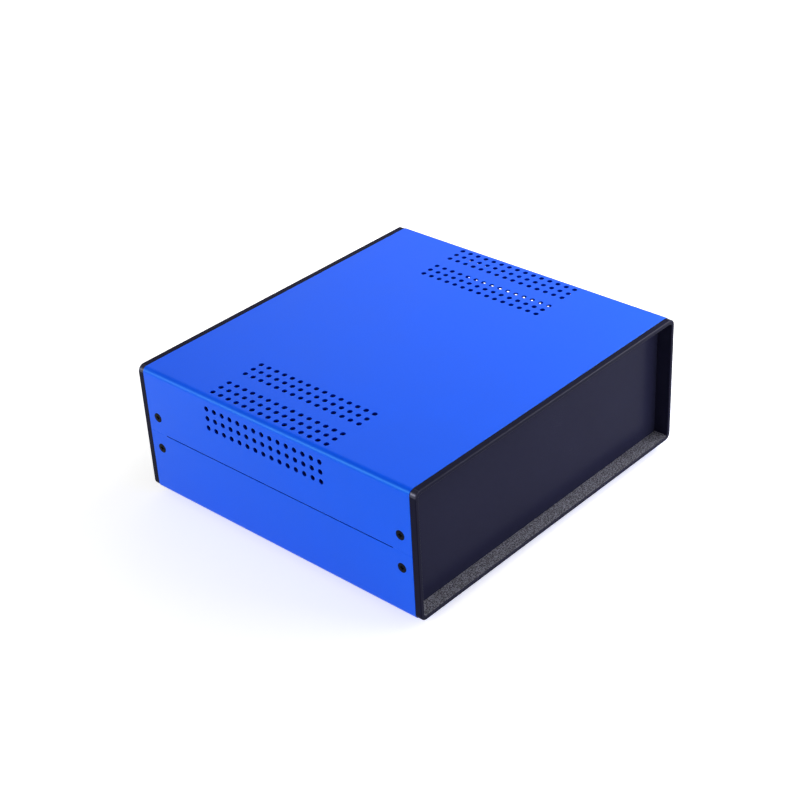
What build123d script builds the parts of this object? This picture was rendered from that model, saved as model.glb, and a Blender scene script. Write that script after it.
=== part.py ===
from build123d import *
from math import pi, sin, sqrt
import os

# Desktop project box: two folded sheet covers, a moulded frame with a recessed panel at each end,
# countersunk side screws and four screw-on feet. Millimetres. X is right, Y is to the rear, Z is up.

# Covers
cover_width = 218.5
cover_height = 79.0
cover_length = 195.0
sheet_thickness = 1.0
bend_inside_radius = 2.2
seam_gap = 0.45
seam_land = 12.8

# Vent holes, in groups of rows that run from front to rear
vent_pitch = 6.0
vent_diameter = 3.1
vent_flats = 8
vent_rows = 3
vent_columns = 15
vent_rear_inset = 50.3
top_vent_inset = 6.0
top_vent_group_step = 24.0
side_vent_inset = 7.8

# End frames
rim_depth = 4.0
rim_wall = 2.4
rim_corner_radius = 4.0
rim_edge_radius = 0.8
rim_back_chamfer = 0.3
mouth_edge_chamfer = 0.3
recess_depth = 8.65
recess_corner_radius = 2.2
tongue_clearance = 0.15
tongue_depth = 14.0
tongue_lead_in = 0.4
ledge_width = 2.5
ledge_thickness = 1.6
gusset_count = 5
gusset_pitch = 40.0
gusset_width = 1.2
gusset_length = 4.0
lug_size = 9.0

# Panels, with the studs welded to their backs
panel_thickness = 1.2
panel_clearance = 0.15
stud_inset = 6.0

# Every screw, stud and nut has the same thread
screw_diameter = 3.0
thread_clearance = 0.02
clearance_hole = 3.4
nut_width = 5.5
nut_height = 2.4
thread_past_nut = 0.6

# Side screws, countersunk, and the bosses that hold them
side_screw_inset = 7.5
side_screw_spacing = 20.0
side_screw_length = 8.0
side_head_diameter = 5.6
head_clearance = 0.05
boss_diameter = 7.2
boss_hole_spare = 0.6
boss_floor = 1.0

# The cross recess in every screw's head
cross_length = 3.0
cross_width = 0.8
cross_depth = 1.1

# Feet and their screws
foot_height = 5.0
foot_top_diameter = 13.0
foot_base_diameter = 11.0
foot_edge_chamfer = 0.6
foot_web = 2.2
foot_side_inset = 24.0
foot_end_inset = 24.0
pan_head_diameter = 5.6
pan_head_height = 1.8
pan_head_chamfer = 0.5
pan_head_clearance = 0.6

# Sizes that follow from the ones above. The box is built about its mid-height and lifted at the end.
inside_width = cover_width - 2 * sheet_thickness
inside_height = cover_height - 2 * sheet_thickness
opening_width = cover_width - 2 * rim_wall
opening_height = cover_height - 2 * rim_wall
cover_front = -cover_length / 2
cover_rear = cover_length / 2
rim_front = cover_front - rim_depth
tongue_end = cover_front + tongue_depth
panel_front = rim_front + recess_depth
panel_back = panel_front + panel_thickness
ledge_back = panel_back + ledge_thickness
foot_x = cover_width / 2 - foot_side_inset
foot_y = cover_length / 2 - foot_end_inset
foot_top = -cover_height / 2
lift = cover_height / 2 + foot_height

SIDES = {"left": -1, "right": 1}
ENDS = {"front": -1, "rear": 1}
LEVELS = {"upper": 1, "lower": -1}


def end_block(width, height, corner_radius, front, back):
    """A block with its outline in the front view, rounded corners, from one depth to another."""
    outline = Plane.XZ.offset(-front) * RectangleRounded(width, height, corner_radius)
    return extrude(outline, amount=front - back)


def cross_recess(length, width, depth):
    """The cross that a driver fits, cut down from z = 0."""
    cross = Rectangle(length, width) + Rectangle(width, length)
    return extrude(cross, amount=-depth)


def countersunk_form(head_radius, shank_radius, length):
    """A 90 degree cone and a shank, with the flat of the head at z = 0."""
    cone_end = shank_radius - head_radius
    profile = Polyline(
        (0, 0),
        (head_radius, 0),
        (shank_radius, cone_end),
        (shank_radius, -length),
        (0, -length),
        close=True,
    )
    return revolve(Plane.XZ * make_face(profile), Axis.Z)


def side_screw():
    """One black countersunk screw with a cross recess."""
    body = countersunk_form(side_head_diameter / 2, screw_diameter / 2, side_screw_length)
    return body - cross_recess(cross_length, cross_width, cross_depth)


def side_screw_hole():
    """What a side screw needs cut for it in a cover, a frame's wall and its boss."""
    return countersunk_form(
        side_head_diameter / 2 + head_clearance,
        (screw_diameter + thread_clearance) / 2,
        side_screw_length + boss_hole_spare,
    )


def side_screw_place(side, end, level):
    """The flat of a side screw's head lies in the cover's outer face and looks outwards."""
    across = side * cover_width / 2
    along = end * (cover_length / 2 - side_screw_inset)
    up = level * side_screw_spacing / 2
    return Pos(across, along, up) * Rot(0, 90 * side, 0)


def vent_outline():
    """A vent hole drawn with a few flats, of the same area as the round hole."""
    area_ratio = 2 * pi / (vent_flats * sin(2 * pi / vent_flats))
    return RegularPolygon(vent_diameter / 2 * sqrt(area_ratio), vent_flats, rotation=180 / vent_flats)


def vent_group(first_row, row_direction):
    """Outlines in rows along Y. The first row is at the given X, the next ones follow in the given direction."""
    middle_row = first_row + row_direction * (vent_rows - 1) * vent_pitch / 2
    middle_column = cover_rear - vent_rear_inset - (vent_columns - 1) * vent_pitch / 2
    grid = GridLocations(vent_pitch, vent_pitch, vent_rows, vent_columns)
    return [Pos(middle_row, middle_column) * place * vent_outline() for place in grid]


def top_vents():
    """Two groups of rows near each long edge of the top."""
    first = cover_width / 2 - top_vent_inset
    outlines = []
    for side in SIDES.values():
        for distance in (first, first - top_vent_group_step):
            outlines += vent_group(side * distance, -side)
    start = Plane.XY.offset(cover_height / 2 - 2 * sheet_thickness)
    return extrude(start * (Sketch() + outlines), amount=3 * sheet_thickness)


def side_vents():
    """One group high on each side, cut straight through both side walls."""
    outlines = vent_group(cover_height / 2 - side_vent_inset, -1)
    beside = Plane(origin=(cover_width, 0, 0), x_dir=(0, 0, 1), z_dir=(-1, 0, 0))
    return extrude(beside * (Sketch() + outlines), amount=2 * cover_width)


def folded_cover():
    """The upper half of the sheet skin: a top and two side walls, with the long edges relieved."""
    skin = end_block(
        cover_width, cover_height, bend_inside_radius + sheet_thickness, cover_front, cover_rear
    ) - end_block(inside_width, inside_height, bend_inside_radius, cover_front, cover_rear)
    lower_half = Pos(0, 0, -cover_height / 2) * Box(2 * cover_width, 2 * cover_length, cover_height)
    relief = Box(2 * cover_width, cover_length - 2 * seam_land, seam_gap)
    cover = skin - lower_half - relief
    for side in SIDES.values():
        for end in ENDS.values():
            cover -= side_screw_place(side, end, 1) * side_screw_hole()
    return cover


def upper_cover():
    return folded_cover() - top_vents() - side_vents()


def lower_cover():
    """The same folded sheet turned over, with a hole for each foot's screw."""
    cover = Rot(0, 180, 0) * folded_cover()
    hole = Cylinder(clearance_hole / 2, 4 * sheet_thickness)
    for side in SIDES.values():
        for end in ENDS.values():
            cover -= Pos(side * foot_x, end * foot_y, -cover_height / 2) * hole
    return cover


def ledge_gusset():
    """A small web under the top wall that stiffens the ledge from behind."""
    wall = opening_height / 2
    root = wall + rim_wall / 4
    tip = ledge_back + gusset_length
    corners = [(tip, root), (tip, wall), (ledge_back, wall - ledge_width), (ledge_back, root)]
    profile = Plane.YZ * make_face(Polyline(*corners, close=True))
    return extrude(profile, amount=gusset_width / 2, both=True)


def stud_place(side, level):
    """A stud stands on the panel's back, near a corner, and points to the rear."""
    across = side * (opening_width / 2 - stud_inset)
    up = level * (opening_height / 2 - stud_inset)
    return Pos(across, panel_back, up) * Rot(-90, 0, 0)


def screw_boss(side, level):
    """A round boss on a side wall, long enough for the screw with a floor behind its tip."""
    inner_end = cover_width / 2 - side_screw_length - boss_hole_spare - boss_floor
    outer_end = (opening_width / 2 + inside_width / 2 - tongue_clearance) / 2
    place = Pos(
        side * (inner_end + outer_end) / 2,
        cover_front + side_screw_inset,
        level * side_screw_spacing / 2,
    )
    return place * Rot(0, 90, 0) * Cylinder(boss_diameter / 2, outer_end - inner_end)


def frame_shell():
    """The rim that shows, and behind it the tongue that the covers close over."""
    rim = end_block(cover_width, cover_height, rim_corner_radius, rim_front, cover_front)
    rim = fillet(rim.faces().sort_by(Axis.Y)[0].edges(), rim_edge_radius)
    rim = chamfer(rim.faces().sort_by(Axis.Y)[-1].edges(), rim_back_chamfer)
    tongue = end_block(
        inside_width - 2 * tongue_clearance,
        inside_height - 2 * tongue_clearance,
        bend_inside_radius,
        cover_front,
        tongue_end,
    )
    tongue = chamfer(tongue.faces().sort_by(Axis.Y)[-1].edges(), tongue_lead_in)
    hollow = end_block(opening_width, opening_height, recess_corner_radius, panel_back, tongue_end)
    return rim + tongue - hollow


def panel_ledge():
    """The ring inside the shell that the panel's back lies on, with a drilled lug in each corner."""
    plate = end_block(opening_width, opening_height, recess_corner_radius, panel_back, ledge_back)
    window = end_block(
        opening_width - 2 * ledge_width,
        opening_height - 2 * ledge_width,
        recess_corner_radius,
        panel_back,
        ledge_back,
    )
    lug = Box(2 * lug_size, 2 * recess_depth, 2 * lug_size)
    hole = Cylinder(clearance_hole / 2, 4 * ledge_thickness)
    ledge = plate - window
    for side in SIDES.values():
        for level in LEVELS.values():
            corner = Pos(side * opening_width / 2, panel_back, level * opening_height / 2)
            ledge += plate & (corner * lug)
            ledge -= stud_place(side, level) * hole
    return ledge


def end_frame():
    """The front frame: one moulding with its recess, ledge, gussets and screw bosses."""
    frame = frame_shell() + panel_ledge()
    for place in GridLocations(gusset_pitch, 1, gusset_count, 1):
        frame += [place * ledge_gusset(), Rot(0, 180, 0) * place * ledge_gusset()]
    for side in SIDES.values():
        for level in LEVELS.values():
            frame += screw_boss(side, level)
    frame -= end_block(opening_width, opening_height, recess_corner_radius, rim_front, panel_back)
    mouth = frame.faces().sort_by(Axis.Y)[0].inner_wires()[0]
    frame = chamfer(mouth.edges(), mouth_edge_chamfer)
    for side in SIDES.values():
        for level in LEVELS.values():
            frame -= side_screw_place(side, -1, level) * side_screw_hole()
    return frame


def end_panel():
    """A flat sheet panel that drops into the frame's recess as far as the ledge, with four studs behind it."""
    panel = end_block(
        opening_width - 2 * panel_clearance,
        opening_height - 2 * panel_clearance,
        recess_corner_radius - panel_clearance,
        panel_front,
        panel_back,
    )
    stud_length = ledge_thickness + nut_height + thread_past_nut
    stud = Pos(0, 0, stud_length / 2) * Cylinder(screw_diameter / 2, stud_length)
    for side in SIDES.values():
        for level in LEVELS.values():
            panel += stud_place(side, level) * stud
    return panel


def hexagon_nut():
    """A plain nut that stands on z = 0."""
    blank = extrude(RegularPolygon(nut_width / 2, 6, major_radius=False), amount=nut_height)
    return blank - Cylinder((screw_diameter + thread_clearance) / 2, 4 * nut_height)


def foot():
    """A tapered rubber foot with a counterbore from below. Its top face is at z = 0."""
    body = Pos(0, 0, -foot_height / 2) * Cone(foot_base_diameter / 2, foot_top_diameter / 2, foot_height)
    body = chamfer(body.faces().sort_by(Axis.Z)[0].edges(), foot_edge_chamfer)
    bore_radius = pan_head_diameter / 2 + pan_head_clearance
    counterbore = Pos(0, 0, -foot_web - foot_height / 2) * Cylinder(bore_radius, foot_height)
    hole = Cylinder(clearance_hole / 2, 4 * foot_height)
    return body - counterbore - hole


def foot_screw():
    """A pan head screw, head down. The face of its head that clamps the foot is at z = 0."""
    head = Pos(0, 0, -pan_head_height / 2) * Cylinder(pan_head_diameter / 2, pan_head_height)
    head = chamfer(head.faces().sort_by(Axis.Z)[0].edges(), pan_head_chamfer)
    head -= Pos(0, 0, -pan_head_height) * Rot(180, 0, 0) * cross_recess(cross_length, cross_width, cross_depth)
    shank_length = foot_web + sheet_thickness + nut_height + thread_past_nut
    return head + Pos(0, 0, shank_length / 2) * Cylinder(screw_diameter / 2, shank_length)


def build_parts():
    """Every piece by name, in place about the box's mid-height."""
    parts = {"upper_cover": upper_cover(), "lower_cover": lower_cover()}
    frame = end_frame()
    panel = end_panel()
    for end_name, end in ENDS.items():
        turn = Rot(0, 0, 0 if end < 0 else 180)
        parts[f"{end_name}_frame"] = turn * frame
        parts[f"{end_name}_panel"] = turn * panel
        for side_name, side in SIDES.items():
            for level_name, level in LEVELS.items():
                where = f"{side_name}_{end_name}_{level_name}"
                screw_place = side_screw_place(side, end, level)
                nut_place = turn * stud_place(-side * end, level) * Pos(0, 0, ledge_thickness)
                parts[f"side_screw_{where}"] = screw_place * side_screw()
                parts[f"panel_nut_{where}"] = nut_place * hexagon_nut()
            where = f"{side_name}_{end_name}"
            foot_place = Pos(side * foot_x, end * foot_y, foot_top)
            parts[f"foot_{where}"] = foot_place * foot()
            parts[f"foot_screw_{where}"] = foot_place * Pos(0, 0, -foot_web) * foot_screw()
            parts[f"foot_nut_{where}"] = foot_place * Pos(0, 0, sheet_thickness) * hexagon_nut()
    return parts


os.makedirs("parts", exist_ok=True)
for name, piece in build_parts().items():
    export_step(Pos(0, 0, lift) * piece, f"parts/{name}.step")
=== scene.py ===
from math import pi, radians, sqrt

import bpy
import numpy as np
from mathutils import Matrix, Vector


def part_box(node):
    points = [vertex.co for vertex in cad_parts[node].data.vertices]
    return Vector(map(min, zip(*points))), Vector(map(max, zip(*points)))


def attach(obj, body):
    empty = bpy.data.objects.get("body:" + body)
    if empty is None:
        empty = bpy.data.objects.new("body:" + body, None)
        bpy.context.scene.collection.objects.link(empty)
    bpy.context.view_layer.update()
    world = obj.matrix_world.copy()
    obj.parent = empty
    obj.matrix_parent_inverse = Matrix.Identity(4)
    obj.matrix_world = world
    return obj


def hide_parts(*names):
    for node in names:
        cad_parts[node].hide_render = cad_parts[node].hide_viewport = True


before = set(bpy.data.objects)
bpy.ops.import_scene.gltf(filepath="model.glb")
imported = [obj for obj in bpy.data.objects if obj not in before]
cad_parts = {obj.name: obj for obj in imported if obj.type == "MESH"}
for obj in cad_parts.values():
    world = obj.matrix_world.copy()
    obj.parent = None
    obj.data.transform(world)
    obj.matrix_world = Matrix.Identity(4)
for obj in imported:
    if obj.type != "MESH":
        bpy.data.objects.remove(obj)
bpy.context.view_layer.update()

# A desktop project box: two folded sheet covers with round vents, a moulded frame with a recessed
# panel at each end, countersunk side screws and four screw-on feet. Metres, in the frame's own axes.

bl_info = {
    "name": "Vented project box",
    "version": (1, 0, 0),
    "blender": (4, 5, 0),
    "location": "3D View > Sidebar > Project Box",
    "description": "Dresses the solids of a vented sheet metal project box with finer pieces and finishes",
    "category": "Object",
}

MM = 0.001
SIDES = {"left": -1, "right": 1}
ENDS = {"front": -1, "rear": 1}
LEVELS = {"upper": 1, "lower": -1}

COVER_LOW, COVER_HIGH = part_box("upper_cover")
FOOT_LOW, FOOT_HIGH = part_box("foot_left_front")
RIM_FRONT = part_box("front_frame")[0].y
HALF_WIDTH = COVER_HIGH.x
HALF_HEIGHT = COVER_HIGH.z - COVER_LOW.z
HALF_LENGTH = COVER_HIGH.y
MID_HEIGHT = COVER_LOW.z
RIM_DEPTH = COVER_LOW.y - RIM_FRONT

# Thicknesses of the covers' sheet, of the panels and of the ledge that carries a panel
SHEET, PANEL, LEDGE = 1.0 * MM, 1.2 * MM, 1.6 * MM
# A side screw's way in from the cover's end and off the seam, and the radius of its countersink
SCREW_IN, SCREW_OFF, SINK_RADIUS = 7.5 * MM, 10 * MM, 2.85 * MM
# A stud's way in from the recess's walls, and the radius of its hole in the ledge
STUD_IN, STUD_HOLE = 6 * MM, 1.7 * MM
# A foot's way in from the covers' edges, the radius of its screw's hole, and the web under the screw's head
FOOT_IN, FOOT_HOLE, FOOT_WEB = 24 * MM, 1.7 * MM, 2.2 * MM
SMOOTH_ANGLE = radians(38)
WHITE = (1.0, 1.0, 1.0, 1.0)


def number(name, default, description, **kind):
    """A property with one value."""
    return bpy.props.FloatProperty(name=name, description=description, default=default, **kind)


def length(name, default, description):
    """A property in metres."""
    return number(name, default, description, min=0.0, precision=5, subtype="DISTANCE", unit="LENGTH")


def share(name, default, description):
    """A property from 0 to 1."""
    return number(name, default, description, min=0.0, max=1.0, subtype="FACTOR")


def turn_by(name, default, description):
    """An angle property."""
    return number(name, default, description, subtype="ANGLE", unit="ROTATION")


def power(name, default, description):
    """A lamp's power in watts."""
    return number(name, default, description, min=0.0, subtype="POWER", unit="POWER")


def colour(name, default, description):
    """A colour property, in linear values."""
    return bpy.props.FloatVectorProperty(
        name=name, description=description, default=default, min=0.0, max=1.0, size=3, subtype="COLOR"
    )


class CoverSettings(bpy.types.PropertyGroup):
    """Sizes and finish of the two folded covers"""

    bend_radius: length("Bend radius", 3.2 * MM, "Outside radius of the two long bends")
    edge_radius: length("Edge radius", 0.14 * MM, "Rounding of the coated sheet's cut edges")
    seam_gap: length("Seam gap", 0.6 * MM, "Gap between the covers at mid-height, between the lands")
    seam_land: length("Seam land", 12.8 * MM, "Length at each end over which the covers touch")
    vent_diameter: length("Vent diameter", 3.1 * MM, "Diameter of the round vent holes")
    vent_pitch: length("Vent pitch", 6.0 * MM, "Distance between neighbouring vent holes")
    coat_colour: colour("Coat colour", (0.0, 0.092, 0.955), "Blue of the powder coat")
    coat_roughness: share("Coat roughness", 0.38, "Roughness of the powder coat")
    coat_gloss: share("Coat gloss", 0.44, "Specular level of the powder coat")
    coat_gloss_tint: colour("Coat gloss tint", (0.14, 0.95, 1.0), "Cool tint of the powder coat's gloss")
    # The darker blue of the holes' walls, the cut edges and the covers' insides is painted shade laid on a
    # thin coat.
    shade_darkened_coat_colour: colour("Thin coat colour with painted shade", (0.0, 0.014, 0.4), "Blue inside and on the cut edges")


class FrameSettings(bpy.types.PropertyGroup):
    """Sizes and finish of the two moulded end frames and their panels"""

    rim_corner_radius: length("Rim corner radius", 4.0 * MM, "Radius of the rim's outer corners")
    rim_edge_radius: length("Rim edge radius", 0.55 * MM, "Rounding along the rim's front edge")
    rim_wall: length("Rim wall", 2.4 * MM, "Thickness of the rim round the recess")
    recess_depth: length("Recess depth", 8.65 * MM, "How far the panel's face is set back")
    recess_corner_radius: length("Recess corner radius", 2.2 * MM, "Radius of the recess's corners")
    plastic_colour: colour("Plastic colour", (0.012, 0.012, 0.029), "Black of the mouldings")
    plastic_roughness: share("Plastic roughness", 0.3, "Roughness of the mouldings' smooth faces")
    plastic_gloss: share("Plastic gloss", 0.02, "Specular level of the mouldings")
    edge_gloss: share("Edge gloss", 0.13, "Specular level of the rim's upper edge, polished by handling")
    corner_gloss: share("Corner gloss", 0.5, "Specular level of the rim's upper corners, worn smooth")
    gloss_tint: colour("Gloss tint", (0.75, 0.75, 1.0), "Cool tint of the black finishes' gloss")
    # Grey painted light on the grain of the recess's floor and ceiling, far lighter than the black moulding.
    lit_grain_colour: colour("Grain colour with painted light", (0.26, 0.26, 0.32), "Grey of the grain's crests in the recess")
    grain_size: length("Grain size", 0.62 * MM, "Size of the grain in the recess walls")
    panel_colour: colour("Panel colour", (0.016, 0.0165, 0.04), "Satin black of the panels")
    panel_roughness: share("Panel roughness", 0.25, "Roughness of the panels")
    panel_gloss: share("Panel gloss", 0.02, "Specular level of the panels")


class HardwareSettings(bpy.types.PropertyGroup):
    """Sizes of the screws, nuts and feet"""

    screw_diameter: length("Screw diameter", 3.0 * MM, "Thread diameter of every screw and stud")
    thread_pitch: length("Thread pitch", 0.5 * MM, "Distance from one thread crest to the next")
    head_diameter: length("Head diameter", 5.6 * MM, "Diameter of the screw heads")
    nut_width: length("Nut width", 5.5 * MM, "Width of the nuts across their flats")
    nut_height: length("Nut height", 2.4 * MM, "Height of the nuts")
    foot_edge_radius: length("Foot edge radius", 0.6 * MM, "Rounding of the feet's lower edge")


class StageSettings(bpy.types.PropertyGroup):
    """Floor, lamps and camera"""

    floor_colour: colour("Floor colour", (0.9, 0.9, 0.9), "Pale floor under the box")
    surround_low: share("Surround near the horizon", 0.5, "Brightness of the surround low down")
    surround_high: share("Surround overhead", 0.26, "Brightness of the surround overhead")
    near_glow: share("Glow near the box", 0.52, "White added to the floor near the box")
    far_glow: share("Glow away from the box", 0.84, "White added to the floor further away")
    front_power: power("Front power", 5.5, "Wide softbox above the right of the front")
    over_power: power("Overhead power", 1.7, "Softbox close to the right end of the top")
    rear_power: power("Rear power", 21.0, "Wide softbox behind the left side")
    sheen_power: power("Sheen power", 0.4, "Wide softbox behind the right end, which the top mirrors")
    camera_place: bpy.props.FloatVectorProperty(
        name="Camera place", description="Where the camera stands",
        default=(-0.60429, -0.56535, 0.54790), size=3, subtype="TRANSLATION",
    )
    heading: turn_by("Heading", radians(45.792), "Direction of view, clockwise from straight ahead")
    dip: turn_by("Dip", radians(32.392), "How far the camera looks down")
    roll: turn_by("Roll", radians(-3.633), "Turn about the line of view")
    lens: number("Lens", 77.208, "Focal length on a 36 mm wide sensor", min=1.0, subtype="DISTANCE_CAMERA")


# Meshes


def grid_numbers(points):
    """The vertex numbers of a grid of points, in the grid's own rows and columns."""
    return np.arange(points.shape[0] * points.shape[1]).reshape(points.shape[:2])


def quads_between(loops, closed_profile=False):
    """Faces of a grid of vertex numbers whose second direction closes on itself. Rows a and a + 1 and
    columns b and b + 1 bound each face. The first direction closes too if asked."""
    around = np.roll(loops, -1, axis=1)
    if closed_profile:
        first, second = loops, np.roll(loops, -1, axis=0)
        first_next, second_next = around, np.roll(around, -1, axis=0)
    else:
        first, second = loops[:-1], loops[1:]
        first_next, second_next = around[:-1], around[1:]
    return np.stack([first, first_next, second_next, second], axis=-1).reshape(-1, 4)


def closed_grid(points):
    """A grid of points that closes both ways, as (points, faces)."""
    return points.reshape(-1, 3), quads_between(grid_numbers(points), closed_profile=True)


def even_turn(steps):
    """The angles of an even run right round, from 0."""
    return np.arange(steps) * 2 * pi / steps


def turned(radius, height, angle):
    """Rings about Z, one for each row. A point is (radius cos a, radius sin a, height)."""
    x = radius * np.cos(angle)
    return np.stack([x, radius * np.sin(angle), np.broadcast_to(height, x.shape)], axis=-1)


def lathe(profile, segments=32):
    """A closed turned shape about Z, as (points, faces). Each profile row is (radius, height), from the
    top's middle to the bottom's middle. Both ends close in a pole."""
    profile = np.asarray(profile, float)
    rings = turned(profile[1:-1, :1], profile[1:-1, 1:], even_turn(segments))
    numbers = grid_numbers(rings)
    after = np.roll(numbers, -1, axis=1)
    top, bottom = numbers.size, numbers.size + 1
    faces = quads_between(numbers[::-1]).tolist()
    faces += np.stack([numbers[0], after[0], np.full(segments, top)], axis=-1).tolist()
    faces += np.stack([after[-1], numbers[-1], np.full(segments, bottom)], axis=-1).tolist()
    points = np.vstack([rings.reshape(-1, 3), [0, 0, profile[0, 1]], [0, 0, profile[-1, 1]]])
    return points, faces


def arc(centre, radius, start, end, steps):
    """Points (centre + radius cos a, centre + radius sin a) for an even run of angles a, in degrees."""
    angle = np.radians(np.linspace(start, end, steps + 1))
    return np.stack([centre[0] + radius * np.cos(angle), centre[1] + radius * np.sin(angle)], axis=-1)


def thread(radius, pitch, start, end):
    """Profile rows of a vee thread between two heights, drawn as rings: crest, root and crest, once a pitch.
    Its depth is 0.54 of the pitch."""
    turns = max(int(abs(end - start) / pitch), 1)
    step = (end - start) / turns
    height = start + step * np.arange(turns)[:, None] + step * np.array([0.1, 0.5, 0.9])
    depth = np.broadcast_to(pitch * 0.54 * np.array([0.0, 1.0, 0.0]), height.shape)
    return np.stack([radius - depth.ravel(), height.ravel()], axis=-1)


def rounded_rings(half_width, half_height, radius, depth, steps=10):
    """Rounded rectangles in planes of constant Y, one for each row of the arguments. A corner's points are
    its centre, half size less radius, plus the radius times the cosine and sine of an even run of angles."""
    quarter = np.linspace(0, pi / 2, steps + 1)
    angle = (quarter[None, :] + np.arange(4)[:, None] * pi / 2).ravel()
    side = np.repeat([1, -1, -1, 1], steps + 1)
    level = np.repeat([1, 1, -1, -1], steps + 1)
    rows = (np.asarray(row, float)[:, None] for row in (half_width, half_height, radius, depth))
    half_width, half_height, radius, depth = rows
    x = side * (half_width - radius) + radius * np.cos(angle)
    z = level * (half_height - radius) + radius * np.sin(angle)
    return np.stack([x, np.broadcast_to(depth, x.shape), z], axis=-1)


def block(low, high):
    """A box between two corners, as (points, faces)."""
    corner = np.array([[i, j, k] for i in (0, 1) for j in (0, 1) for k in (0, 1)])
    points = np.where(corner == 1, high, low).astype(float)
    faces = [[0, 1, 3, 2], [4, 6, 7, 5], [0, 4, 5, 1], [2, 3, 7, 6], [0, 2, 6, 4], [1, 5, 7, 3]]
    return points, faces


def prism(outline, low, high, axis):
    """An outline in the two other axes, carried along one axis, with flat ends."""
    outline = np.asarray(outline, float)
    count = len(outline)
    points = np.vstack([np.insert(outline, axis, low, axis=1), np.insert(outline, axis, high, axis=1)])
    near = list(range(count))
    far = [n + count for n in near]
    faces = [near[::-1], far] + [[a, (a + 1) % count, (a + 1) % count + count, a + count] for a in near]
    return points, faces


def moved(shape, matrix):
    """The shape with its points carried by a 4 by 4 matrix."""
    points, faces = shape
    turn = np.array(matrix)[:3, :3]
    place = np.array(matrix)[:3, 3]
    return points @ turn.T + place, faces


def joined(*shapes):
    """Several closed shapes as one list of points and faces."""
    points, faces, count = [], [], 0
    for shape_points, shape_faces in shapes:
        points.append(shape_points)
        faces += [[int(n) + count for n in face] for face in shape_faces]
        count += len(shape_points)
    return np.vstack(points), faces


def mesh_of(name, shape):
    """A mesh with the shape's points and faces."""
    points, faces = shape
    mesh = bpy.data.meshes.new(name)
    mesh.from_pydata(np.asarray(points).tolist(), [], faces if isinstance(faces, list) else faces.tolist())
    mesh.validate()
    return mesh


def combined(shape, operation, other):
    """The shape after a union or a difference with other closed shapes, as (points, faces)."""
    kept = bpy.data.objects.new("kept", mesh_of("kept", shape))
    tool = bpy.data.objects.new("tool", mesh_of("tool", other))
    for item in (kept, tool):
        bpy.context.scene.collection.objects.link(item)
    step = kept.modifiers.new("Boolean", "BOOLEAN")
    step.operation = operation
    step.solver = "EXACT"
    step.use_self = True
    step.object = tool
    graph = bpy.context.evaluated_depsgraph_get()
    mesh = bpy.data.meshes.new_from_object(kept.evaluated_get(graph))
    points = np.empty(len(mesh.vertices) * 3)
    mesh.vertices.foreach_get("co", points)
    faces = [list(face.vertices) for face in mesh.polygons]
    for item in (kept, tool):
        bpy.data.objects.remove(item)
    return points.reshape(-1, 3), faces


def place_piece(name, shape, materials, replaced, material_of_face=None):
    """Makes the piece, shades it smooth between its sharp edges, and ties it to the frame."""
    mesh = mesh_of(name, shape)
    for material in materials:
        mesh.materials.append(material)
    if material_of_face is not None:
        mesh.polygons.foreach_set("material_index", material_of_face)
    mesh.shade_smooth()
    mesh.set_sharp_from_angle(angle=SMOOTH_ANGLE)
    old = bpy.data.objects.get(name)
    if old is not None:
        bpy.data.objects.remove(old)
    piece = bpy.data.objects.new(name, mesh)
    bpy.context.scene.collection.objects.link(piece)
    flat_faces = piece.modifiers.new("Weighted normals", "WEIGHTED_NORMAL")
    flat_faces.keep_sharp = True
    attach(piece, "root")
    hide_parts(*replaced)
    return piece


# Materials


def feed(tree, socket, value):
    """Links an input to the socket given, or gives it the value."""
    if isinstance(value, bpy.types.NodeSocket):
        tree.links.new(value, socket)
    else:
        socket.default_value = value


def node(tree, kind, inputs=(), **settings):
    """Adds a shader node to a tree, with its settings and then its inputs, each a value or a socket."""
    made = tree.nodes.new(f"ShaderNode{kind}")
    for key, value in settings.items():
        setattr(made, key, value)
    for key, value in dict(inputs).items():
        feed(tree, made.inputs[key], value)
    return made


def pattern_group(name, numbers):
    """A new shader node group. Its inputs are Position and the given numbers, and its outputs are Height and
    Tone. Returns the group, the sockets that it is given and those of its result."""
    group = bpy.data.node_groups.new(name, "ShaderNodeTree")
    group.interface.new_socket(name="Position", in_out="INPUT", socket_type="NodeSocketVector")
    for key, value in numbers.items():
        socket = group.interface.new_socket(name=key, in_out="INPUT", socket_type="NodeSocketFloat")
        socket.default_value = value
    for key in ("Height", "Tone"):
        group.interface.new_socket(name=key, in_out="OUTPUT", socket_type="NodeSocketFloat")
    given = group.nodes.new("NodeGroupInput").outputs
    result = group.nodes.new("NodeGroupOutput").inputs
    return group, given, result


def speckle_group():
    """Shared by the smooth finishes. Height is fine noise, and Tone is the same noise with a broad one,
    spread from 0 to 1."""
    name = "Speckle"
    if name in bpy.data.node_groups:
        return bpy.data.node_groups[name]
    numbers = {"Fine scale": 1500.0, "Broad scale": 40.0, "Broad share": 0.4}
    group, given, result = pattern_group(name, numbers)
    place = given["Position"]
    fine = node(group, "TexNoise", {"Vector": place, "Scale": given["Fine scale"], "Detail": 2.0})
    broad = node(group, "TexNoise", {"Vector": place, "Scale": given["Broad scale"], "Detail": 1.0})
    blend = node(group, "Mix", {
        "Factor": given["Broad share"], "A": fine.outputs["Fac"], "B": broad.outputs["Fac"],
    })
    spread = node(group, "MapRange", {"Value": blend.outputs["Result"], "From Min": 0.3, "From Max": 0.7})
    group.links.new(fine.outputs["Fac"], result["Height"])
    group.links.new(spread.outputs["Result"], result["Tone"])
    return group


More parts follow.
